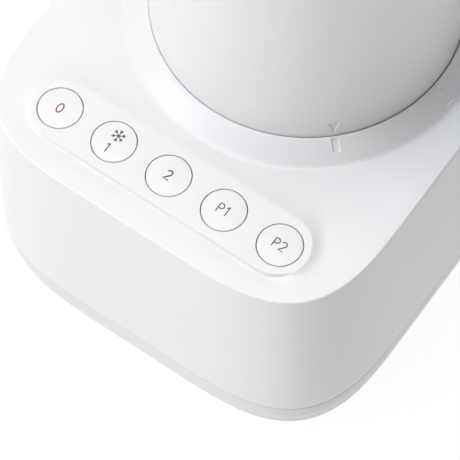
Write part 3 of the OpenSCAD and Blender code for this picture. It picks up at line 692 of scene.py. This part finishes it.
def build_cover():
    zb, zt = FOOT, SEAM - 0.3

    def cring(z, d, c=None):
        u = (zt - z) / (zt - zb)
        return outline(z, d, c if c is not None else 74.0 - 3.0 * u)
    # convex foot edge that rolls in to the flat underside
    prof = fillet([(0.0, -1.4), (0.0, 1.75, 2.4), (4.6, 2.25, 3.0), (11.0, 3.5, 10.0), (zt - zb, 4.3, 0.5), (zt - zb, 2.1)], closed=False, seg=8)
    rings = [cring(zb + h, d) for h, d in prof]
    rings += [cring(zt + 0.05, 4.47 - WALL - 0.3, 71.4), cring(zt + 3.3, 4.22 - WALL - 0.3, 71.1), cring(zt + 3.6, 3.9 - WALL - 0.3, 70.9),
              cring(zt + 3.6, 2.9 - WALL - 0.3, 69.8), cring(zt + 3.3, 2.6 - WALL - 0.3, 69.6), cring(14, 2 - WALL - 0.3, 69.4),
              cring(zb + 4.2, 0.6 - WALL, 68.2), cring(zb + 3.0, -0.6 - WALL, 67.2), cring(zb + 2.5, -2.4 - WALL, 66)]
    # order from the underside's edge, round the outside, to the floor's edge
    V, F = strip(rings, caps=False)
    loops = []
    for k in range(-5, 6):
        l = 2 * math.sqrt(34 * 34 - 36 * k * k)
        loops.append(slot_loop(k * 6, 0, 3, l))
    for s in (-1, 1):
        for k in range(4):
            loops.append(slot_loop(s * (50 + 6 * k), 0, 3, 64))
    for x, y in POSTS:
        loops.append(circle(3.6, 32, x, y))
    # underside, sharing the slot walls up to the floor
    under = [(x, y) for x, y, z in rings[0]]
    floor = [(x, y) for x, y, z in rings[-1]]
    v, f = plate_with_holes(under, zb, zb + 2.5, loops)
    # take the bottom sheet and the slot walls from the outer outline, and the top sheet from the inner outline
    b = len(V)
    v2, f2 = plate_with_holes(floor, zb + 2.5, zb + 2.5, loops)
    keep = [q for q in f if not all(abs(v[i][2] - (zb + 2.5)) < 1e-6 for i in q)]
    V += v
    F += [tuple(b + i for i in q) for q in keep]
    b = len(V)
    # only one of the two coincident sheets is kept
    V += v2
    seen = set()
    for q in f2:
        key = tuple(sorted((round(v2[i][0], 5), round(v2[i][1], 5)) for i in q))
        if key in seen or len(set(key)) < 3:
            continue
        seen.add(key)
        F.append(tuple(b + i for i in q))
    ob = make_mesh("cover_shell", V, F, sharp=38)
    return ob


cover = piece(build_cover(), "bottom_cover")


def group(name, parts):
    """Joins several objects made here into one."""
    bpy.ops.object.select_all(action="DESELECT")
    for p in parts:
        p.select_set(True)
    bpy.context.view_layer.objects.active = parts[0]
    if len(parts) > 1:
        bpy.ops.object.join()
    ob = parts[0]
    ob.name = name
    ob.data.name = name
    return ob


def post(x, y, r, z0, z1, bore=0.0):
    pr = [(r, z0, 0.4), (r, z1), (bore, z1), (bore, z0)] if bore else [(0, z0), (r, z0, 0.4), (r, z1), (0, z1)]
    return lathe("post", fillet(pr), n=40, cx=x, cy=y)


# posts that stand inside the base
inner = [post(x, y, 4.2, SEAM + 0.6, DECK_U + 0.3, 1.5) for x, y in POSTS]
inner += [post(x, y, 5.5, DECK_U - 7.4, DECK_U + 0.3, 2.5) for x, y in ((35, 26), (-35, 26), (35, -26), (-35, -26))]
inner += [post(x, y, 3.0, 103.2, DECK_U + 0.3, 1.1) for x, y in ((40.5, -87), (-40.5, -87), (40.5, -106), (-40.5, -106))]
inner.append(lathe("post", fillet([(8, 97.5, 0.4), (8, DECK_U + 0.3), (2.56, DECK_U + 0.3), (2.56, 112, 0.2), (5.2, 112), (5.2, 97.5)]), n=48, cx=0, cy=56.5))
posts = group("housing_posts", inner)
piece(posts, "upper_housing", only=False)
inner = [lathe("post", fillet([(6.0, FOOT + 2.4), (6.0, SEAM + 0.2), (1.8, SEAM + 0.2), (1.8, 14), (3.6, 14), (3.6, FOOT + 2.4)]), n=40, cx=x, cy=y)
         for x, y in POSTS]
inner.append(lathe("post", fillet([(40, FOOT + 2.4), (42, FOOT + 2.4), (42, 17.5, 0.5), (40, 17.5, 0.5)]), n=96))
cover_ribs = group("cover_ribs", inner)
piece(cover_ribs, "bottom_cover", only=False)

# ---------------------------------------------------------------- rubber feet
fs = [lathe("foot", fillet([(0, 0.25), (3.2, 0.25, 0.3), (3.6, 0, 0.3), (6.6, 0, 0.5), (7.9, 1.0, 1.0), (8.0, FOOT + 1.5, 0.3), (0, FOOT + 1.5)]), n=64, cx=x, cy=y) for x, y in FEET]
piece(group("feet", fs), "rubber_feet")

# ---------------------------------------------------------------- buttons and their legends
INK = plastic("ink_grey", (0.075, 0.075, 0.078), 0.5, tint=0.004)
INK_RED = plastic("ink_red", (0.25, 0.028, 0.032), 0.5, tint=0.004)


def stroke(paths, w, z, cx, cy, name, mat, h=0.03):
    """Flat inked line work: each path is a list of (x, y) points, drawn as a ribbon of width w."""
    V, F = [], []

    def ribbon(pts, closed=False):
        P = [np.array(p, float) for p in pts]
        n = len(P)
        L, Rr = [], []
        for i in range(n):
            if closed:
                a, b = P[i - 1], P[(i + 1) % n]
            else:
                a, b = P[max(0, i - 1)], P[min(n - 1, i + 1)]
            t = (b - a) / (np.linalg.norm(b - a) + 1e-12)
            nn = np.array([-t[1], t[0]])
            # mitre
            if closed or 0 < i < n - 1:
                t1 = P[i] - P[i - 1]
                t1 = t1 / (np.linalg.norm(t1) + 1e-12)
                c = max(0.5, abs(float(t1 @ t)))
                k = w / 2 / c
            else:
                k = w / 2
            L.append(P[i] + nn * k)
            Rr.append(P[i] - nn * k)
        poly = L + Rr[::-1]
        if closed:
            b0 = len(V)
            V.extend([(p[0], p[1]) for p in L])
            V.extend([(p[0], p[1]) for p in Rr])
            for i in range(n):
                k = (i + 1) % n
                F.append((b0 + i, b0 + k, b0 + n + k, b0 + n + i))
            return
        b0 = len(V)
        V.extend([(p[0], p[1]) for p in L])
        V.extend([(p[0], p[1]) for p in Rr])
        for i in range(n - 1):
            F.append((b0 + i, b0 + i + 1, b0 + n + i + 1, b0 + n + i))
    for p in paths:
        closed = p[0] == "o"
        ribbon(p[1:] if closed else p, closed)
    nv = len(V)
    verts = [(cx + x, cy + y, z) for x, y in V] + [(cx + x, cy + y, z + h) for x, y in V]
    faces = []
    from collections import Counter
    cnt = Counter()
    for f in F:
        for i in range(len(f)):
            a, b = f[i], f[(i + 1) % len(f)]
            cnt[(min(a, b), max(a, b))] += 1
    for f in F:
        faces.append(tuple(i + nv for i in f))
        faces.append(tuple(reversed(f)))
        for i in range(len(f)):
            a, b = f[i], f[(i + 1) % len(f)]
            if cnt[(min(a, b), max(a, b))] == 1:
                faces.append((a, b, b + nv, a + nv))
    ob = make_mesh(name, verts, faces, smooth=False)
    ob.data.materials.append(mat)
    return ob


def arc(cx, cy, rx, ry, a0, a1, n=14):
    return [(cx + rx * math.cos(math.radians(a0 + (a1 - a0) * k / n)), cy + ry * math.sin(math.radians(a0 + (a1 - a0) * k / n))) for k in range(n + 1)]


def glyph_0(h, s=0.0):
    w = h * 0.56
    return [["o"] + arc(s + w / 2, h / 2, w / 2, h / 2, 0, 360, 32)[:-1]]


def glyph_1(h, s=0.0):
    return [[(s + h * 0.24, h + 0.24), (s + h * 0.24, h * 0.5), (s + h * 0.24, 0)], [(s, h * 0.8), (s + h * 0.24, h * 0.99)]]


def glyph_2(h, s=0.0):
    w = h * 0.52
    r = w / 2
    top = arc(s + r, h - r, r, r, 165, -35, 14)
    return [top + [(s, 0.0), (s + w * 1.04, 0.0)]]


def glyph_p(h, s=0.0):
    w = h * 0.5
    r = h * 0.27
    return [[(s, 0), (s, h * 0.5), (s, h), (s + w - r, h)] + arc(s + w - r, h - r, r, r, 90, -90, 12) + [(s, h - 2 * r)]]


def snow(r):
    """A six-armed ice crystal."""
    paths = []
    for k in range(6):
        a = math.radians(30 + 60 * k)
        d = np.array([math.cos(a), math.sin(a)])
        if k < 3:
            paths.append([tuple(-d * r), (0.0, 0.0), tuple(d * r)])
        for s in (-1, 1):
            b = a + s * math.radians(48)
            e = np.array([math.cos(b), math.sin(b)])
            paths.append([tuple(d * r * 0.58), tuple(d * r * 0.58 + e * r * 0.34)])
    return paths


def shift(paths, dx, dy):
    return [[p if p == "o" else (p[0] + dx, p[1] + dy) for p in path] for path in paths]


BUTTONS = ["stop_button", "speed_1_button", "speed_2_button", "pulse_1_button", "pulse_2_button"]
for k, node in enumerate(BUTTONS):
    cx = BTN_X0 + (k - 2) * PITCH
    cap = lathe(node + "_cap", fillet([(0, 110.4), (2, 110.4, 0.2), (2, 113.4), (3.4, 113.4), (3.4, PANEL - 1.8, 0.4), (7.6, PANEL - 1.8, 0.4), (7.6, 113.2),
                                      (10.2, 113.2, 0.3), (10.2, 114.9, 0.3), (BTN_R, 114.9), (BTN_R, PANEL, 0.28), (0, PANEL)], seg=5), n=120, cx=cx, cy=BTN_Y)
    piece(cap, node)
    z = PANEL + 0.004
    H = 4.25
    if k == 0:
        g = stroke(shift(glyph_0(H), -H * 0.28, -H / 2), 0.55, z, cx, BTN_Y, "legend_stop", INK_RED)
    elif k == 1:
        g = stroke(shift(glyph_1(H), -1.6, -5.9), 0.48, z, cx, BTN_Y, "legend_speed_1", INK)
        s = stroke(shift(snow(3.0), 0.0, 3.1), 0.4, z, cx, BTN_Y, "legend_ice", INK)
        g = group("legend_speed_1", [g, s])
    elif k == 2:
        g = stroke(shift(glyph_2(H), -H * 0.27 - 0.2, -H / 2 + 0.2), 0.6, z, cx, BTN_Y, "legend_speed_2", INK)
    elif k == 3:
        g = stroke(shift(glyph_p(H), -2.7, -H / 2) + shift(glyph_1(H), 0.55, -H / 2), 0.48, z, cx, BTN_Y, "legend_pulse_1", INK)
    else:
        g = stroke(shift(glyph_p(H), -2.8, -H / 2) + shift(glyph_2(H), 0.4, -H / 2), 0.5, z, cx, BTN_Y, "legend_pulse_2", INK)
    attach(g, node)

# ---------------------------------------------------------------- jug collar
def build_collar():
    """Lathe outline of the collar with a recessed triangle by the lower edge."""
    ct = 236.0
    prof = fillet([(62.1, 118.6, 0.5), (COLLAR_R, 118.6, 0.5), (COLLAR_R, 128), (COLLAR_R - 0.35, ct - 3), (COLLAR_R - 0.55, ct, 1.4), (62.1, ct, 0.7),
                   (62.1, 153.5, 0.6), (34, 153.5, 0.4), (34, 150, 0.4), (62.1, 150, 0.6)], seg=6)
    # refine the outer wall where the mark is
    fine = []
    m = len(prof)
    for i in range(m):
        a, b = prof[i], prof[(i + 1) % m]
        fine.append(a)
        if abs(a[0] - b[0]) < 0.5 and a[0] > 64 and b[1] > a[1]:
            lo, hi = a[1], b[1]
            zs = [z for z in np.arange(126.5, 136.6, 0.25) if lo + 0.01 < z < hi - 0.01]
            for z in zs:
                t = (z - lo) / (hi - lo)
                fine.append((a[0] + (b[0] - a[0]) * t, float(z)))
    az = math.radians(-46)
    coarse = np.linspace(0, 2 * math.pi, 241)[:-1]
    near = np.linspace(az - 0.06, az + 0.06, 61) % (2 * math.pi)
    keep = [c for c in coarse if min(abs(c - az % (2 * math.pi)), 2 * math.pi - abs(c - az % (2 * math.pi))) > 0.062]
    angs = sorted(list(keep) + list(near))
    n = len(angs)
    V = []
    for r, z in fine:
        for a in angs:
            rr = r
            if r > 64 and 126.5 <= z <= 136.6:
                da = (a - az + math.pi) % (2 * math.pi) - math.pi
                s = da * COLLAR_R
                # signed depth inside the triangle with tip at z=127.8 and base at z=135.2, half width 2.35
                e1 = (2.35 * (z - 127.8) / 7.4 - abs(s)) * 7.4 / math.hypot(7.4, 2.35)
                e2 = 135.2 - z
                e = min(e1, e2)
                q = max(0.0, min(1.0, (e + 0.12) / 0.36))
                rr = r - 0.55 * q
            V.append((rr * math.cos(a), rr * math.sin(a), z))
    F = []
    m = len(fine)
    for j in range(m):
        a0, b0 = j * n, ((j + 1) % m) * n
        for i in range(n):
            k = (i + 1) % n
            F.append((a0 + i, a0 + k, b0 + k, b0 + i))
    return make_mesh("collar_shell", V, F, sharp=34)


collar = build_collar()
extra = []
import bmesh


def box_piece(name, x0, x1, y0, y1, z0, z1, bevel=0.3, rot=0.0):
    bm = bmesh.new()
    bmesh.ops.create_cube(bm, size=1.0)
    for v in bm.verts:
        v.co = Vector(((x0 + x1) / 2 + v.co.x * (x1 - x0), (y0 + y1) / 2 + v.co.y * (y1 - y0), (z0 + z1) / 2 + v.co.z * (z1 - z0)))
    if bevel:
        bmesh.ops.bevel(bm, geom=list(bm.edges), offset=bevel, segments=3, profile=0.5, affect="EDGES")
    c, s = math.cos(math.radians(rot)), math.sin(math.radians(rot))
    for v in bm.verts:
        x, y = v.co.x, v.co.y
        v.co = Vector(((x * c - y * s) * 0.001, (x * s + y * c) * 0.001, v.co.z * 0.001))
    me = bpy.data.meshes.new(name)
    bm.to_mesh(me)
    bm.free()
    me.polygons.foreach_set("use_smooth", [True] * len(me.polygons))
    me.set_sharp_from_angle(angle=math.radians(35))
    ob = bpy.data.objects.new(name, me)
    bpy.context.scene.collection.objects.link(ob)
    return ob


for k in range(4):
    extra.append(box_piece("key", 58, 62.4, -4, 4, 118.6, 126.6, 0.5, 15 + 90 * k))
for k in range(8):
    extra.append(box_piece("rib", 36, 62.4, -0.9, 0.9, 140, 150.3, 0.3, 22.5 + 45 * k))
piece(collar, "jug_collar")
ribs = group("collar_ribs", extra)
piece(ribs, "jug_collar", only=False)

# ---------------------------------------------------------------- glass
def glass_r(z):
    return 57 + (z - 160) * (70 - 57) / (GLASS_TOP - 160)


def lip_push(a, z):
    w = max(0.0, (z - (GLASS_TOP - 21)) / 21)
    d = (math.degrees(a) - 180) / 19
    return 8 * w * w * math.exp(-d * d)


def build_glass():
    n = 200
    zt, t = GLASS_TOP, 3.6
    zs = [172, 180, 190, 200, 212, 224, 236, 250, 264, 280, 296, 310, 322, 334, 340, 346, 352, 357, 362, 366, 370, 373, 375.5]
    prof = [(36, 159.1), (36.6, 158.5), (49, 158.5), (52.5, 159.2), (55, 161), (56.6, 164.5), (57.4, 168)]
    prof += [(glass_r(z), z) for z in zs]
    prof += [(glass_r(zt) - 0.1, zt - 1.2), (glass_r(zt) - 0.55, zt - 0.35), (glass_r(zt) - 1.3, zt), (glass_r(zt) - t + 1.3, zt), (glass_r(zt) - t + 0.55, zt - 0.35), (glass_r(zt) - t + 0.1, zt - 1.2)]
    prof += [(glass_r(z) - t, z) for z in reversed(zs[1:])]
    prof += [(glass_r(174) - t, 174), (53.2, 169), (51.5, 166), (49, 164), (45.5, 162.8), (42, 162.5), (36.6, 162.5), (36, 161.9)]
    V = []
    for r, z in prof:
        for k in range(n):
            a = 2 * math.pi * k / n
            q = r + lip_push(a, z)
            V.append((q * math.cos(a), q * math.sin(a), z))
    m = len(prof)
    F = []
    for j in range(m):
        a0, b0 = j * n, ((j + 1) % m) * n
        for i in range(n):
            k = (i + 1) % n
            F.append((a0 + i, a0 + k, b0 + k, b0 + i))
    return make_mesh("glass_body", V, F, sharp=60)


glass_body = piece(build_glass(), "glass_jug")
glass_body.visible_shadow = False
glass_body.visible_diffuse = False

# ---------------------------------------------------------------- handle
def build_handle():
    """A C-shaped grip swept along a rounded path, with an oval section."""
    path = fillet([(60, 351), (121.5, 351, 24), (123.0, 249, 24), (60, 249)], closed=False, seg=18)
    # resample evenly
    P = [np.array(p) for p in path]
    seg = [0.0]
    for a, b in zip(P, P[1:]):
        seg.append(seg[-1] + np.linalg.norm(b - a))
    tot = seg[-1]
    n = 120
    pts = []
    for k in range(n + 1):
        d = tot * k / n
        j = max(0, min(len(P) - 2, int(np.searchsorted(seg, d)) - 1))
        f = (d - seg[j]) / (seg[j + 1] - seg[j])
        pts.append(P[j] * (1 - f) + P[j + 1] * f)
    rings = []
    for k, p in enumerate(pts):
        a, b = pts[max(0, k - 1)], pts[min(n, k + 1)]
        t = (b - a) / np.linalg.norm(b - a)
        nr = np.array([t[1], -t[0]])
        u = k / n
        # thinner in depth and wider at the grip
        hd = 7.6 + 1.4 * math.sin(math.pi * u) ** 2
        hw = 9.6 + 1.6 * math.sin(math.pi * u) ** 2
        ring = []
        for i in range(40):
            th = 2 * math.pi * i / 40
            e = 2.6
            c, s = math.cos(th), math.sin(th)
            q = (abs(c) ** e + abs(s) ** e) ** (-1 / e)
            off = nr * (hd * q * c)
            x, z = p[0] + off[0], p[1] + off[1]
            y = hw * q * s
            # the ends follow the wall of the glass
            rmin = glass_r(z) + 1.6
            if math.hypot(x, y) < rmin:
                x = math.sqrt(max(0.0, rmin * rmin - y * y))
            ring.append((x, y, z))
        rings.append(ring)
    V, F = strip(rings)
    return make_mesh("handle_grip", V, F, sharp=50)


piece(build_handle(), "jug_handle")
bs = []
for z in (243.5, 345.0):
    r0, r1 = glass_r(z), glass_r(z + 11)
    bs.append(lathe("band", fillet([(r0 + 0.15, z, 0.1), (r0 + 1.5, z, 0.5), (r1 + 1.5, z + 11, 0.5), (r1 + 0.15, z + 11, 0.1)]), n=180))
piece(group("bands", bs), "handle_bands")

# ---------------------------------------------------------------- lid and measuring cap
zt = GLASS_TOP
lid = lathe("lid_shell", fillet([(24.4, zt - 16, 0.5), (27.2, zt - 16, 0.5), (27.2, zt + 0.4, 1.0), (61.6, zt + 0.4, 1.0), (61.6, zt - 16, 0.5), (64.2, zt - 16, 0.5),
                                (64.2, zt - 10.2), (63.2, zt - 10.2), (63.2, zt - 4.8), (64.2, zt - 4.8), (64.2, zt + 0.4, 0.5),
                                (71.6, zt + 0.4, 0.5), (71.8, zt + 2.6, 2.2), (67.0, zt + 4.2, 4.0), (40, zt + 3.4, 12.0), (30.0, zt + 3.6, 1.0), (29.4, zt + 4.4, 0.4), (24.4, zt + 4.4, 0.4)], seg=8), n=200)
piece(lid, "jug_lid")
seal = lathe("lid_seal_ring", fillet([(63.25, zt - 10.1), (64.6, zt - 10.1, 0.3), (65.2, zt - 9, 0.2), (64.6, zt - 8, 0.2), (65.2, zt - 7.2, 0.2), (64.6, zt - 6, 0.3), (64.6, zt - 4.9, 0.2), (63.25, zt - 4.9)]), n=180)
piece(seal, "lid_seal")
cap = lathe("cap_shell", fillet([(21.2, zt - 14, 0.7), (23.8, zt - 14, 0.7), (23.8, zt + 4.7, 0.4), (27.5, zt + 4.7, 0.5), (28, zt + 6.6, 1.6), (25.0, zt + 8.6, 3.0), (0, zt + 8.8), (0, zt + 6.0), (21.2, zt + 5.6, 1.5)], seg=8), n=140)
grip = box_piece("cap_grip", -22, 22, -5.4, 5.4, zt + 8, zt + 13.9, 2.3)
piece(group("cap_body", [cap, grip]), "filler_cap")

# ---------------------------------------------------------------- finishes on the pieces kept from the CAD
REPLACED = {n for o in bpy.data.objects if "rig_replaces" in o for n in o["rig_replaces"]}
for n, ob in NODES.items():
    if n in REPLACED:
        continue
    ob.data.materials.clear()
    ob.data.materials.append(MAT[SLOT[n]])

# ---------------------------------------------------------------- stage, light, camera
bpy.ops.mesh.primitive_plane_add(size=12.0, location=(0, 0, -0.0002))
floor = bpy.context.object
floor.name = "floor"
fm, fnt, fbs, ftc = new_mat("floor_white")
fbs.inputs["Roughness"].default_value = 0.7
fbs.inputs["Specular IOR Level"].default_value = 0.1
fnt.links.new(ramp(fnt, noise(fnt, ftc, 3.0), 0.3, 0.7, (0.07, 0.07, 0.07), (0.08, 0.08, 0.08)), fbs.inputs["Base Color"])
fbs.inputs["Emission Color"].default_value = (1, 1, 1, 1)
fbs.inputs["Emission Strength"].default_value = 0.93
floor.data.materials.append(fm)

sc = bpy.context.scene
world = bpy.data.worlds.new("studio")
sc.world = world
world.use_nodes = True
wb = world.node_tree.nodes["Background"]
wb.inputs[0].default_value = (1.0, 0.84, 0.88, 1)
wb.inputs[1].default_value = 0.03


def area(name, az, el, dist, size, rgb):
    # a square soft light on the sphere round the base; rgb is the light it gives a face turned straight to it
    a, e = math.radians(az), math.radians(el)
    loc = Vector((dist * math.cos(e) * math.cos(a), dist * math.cos(e) * math.sin(a), 0.1 + dist * math.sin(e)))
    top = max(rgb)
    l = bpy.data.lights.new(name, "AREA")
    l.shape = "SQUARE"
    l.size = size
    l.energy = top * math.pi ** 2 * dist ** 2
    l.color = tuple(c / top for c in rgb)
    o = bpy.data.objects.new(name, l)
    sc.collection.objects.link(o)
    o.location = loc
    o.rotation_euler = (Vector((0, 0, 0.1)) - loc).to_track_quat("-Z", "Y").to_euler()
    o.visible_camera = False
    return o


lights = [area("top", 0, 90, 2.7, 1.6, (0.575, 0.540, 0.522)), area("front_low", -125, 25, 2.5, 1.3, (0.396, 0.398, 0.378)),
          area("front_high", -135, 55, 2.5, 1.3, (0.178, 0.203, 0.240)), area("front_mid", -90, 50, 2.5, 1.3, (0.090, 0.099, 0.115)),
          area("left_low", 160, 20, 2.5, 1.2, (0.130, 0.116, 0.100)), area("back", 90, 50, 2.5, 1.3, (0.050, 0.070, 0.085))]
for o in bpy.data.objects:
    if o.name in ("lid_shell", "cap_body", "lid_seal_ring"):
        o.visible_shadow = False
# soft shadows come from the base, collar and handle; the clear upper jug and its lid let the light past
blockers = bpy.data.collections.new("shadow_makers")
for o in bpy.data.objects:
    if o.type == "MESH" and o.name not in ("lid_shell", "cap_body", "lid_seal_ring", "glass_body"):
        blockers.objects.link(o)
for o in lights:
    o.light_linking.blocker_collection = blockers
sc.view_settings.view_transform = "Standard"

YAW, EL, ROLL, FOC = 0.6404, 1.1057, -0.0289, 3080.0
CAM = (359.8236, -540.1809, 1207.1773)
r = Vector((math.cos(YAW), math.sin(YAW), 0))
fw = Vector((-math.sin(YAW) * math.cos(EL), math.cos(YAW) * math.cos(EL), -math.sin(EL)))
up = r.cross(fw)
r2 = math.cos(ROLL) * r + math.sin(ROLL) * up
up2 = -math.sin(ROLL) * r + math.cos(ROLL) * up
cd = bpy.data.cameras.new("view")
cam = bpy.data.objects.new("view", cd)
sc.collection.objects.link(cam)
M = Matrix((r2, up2, -fw)).transposed().to_4x4()
M.translation = Vector(CAM) * 0.001
cam.matrix_world = M
cd.sensor_width = 36.0
cd.sensor_fit = "HORIZONTAL"
cd.lens = FOC / 460.0 * 36.0
cd.clip_end = 20.0
sc.camera = cam
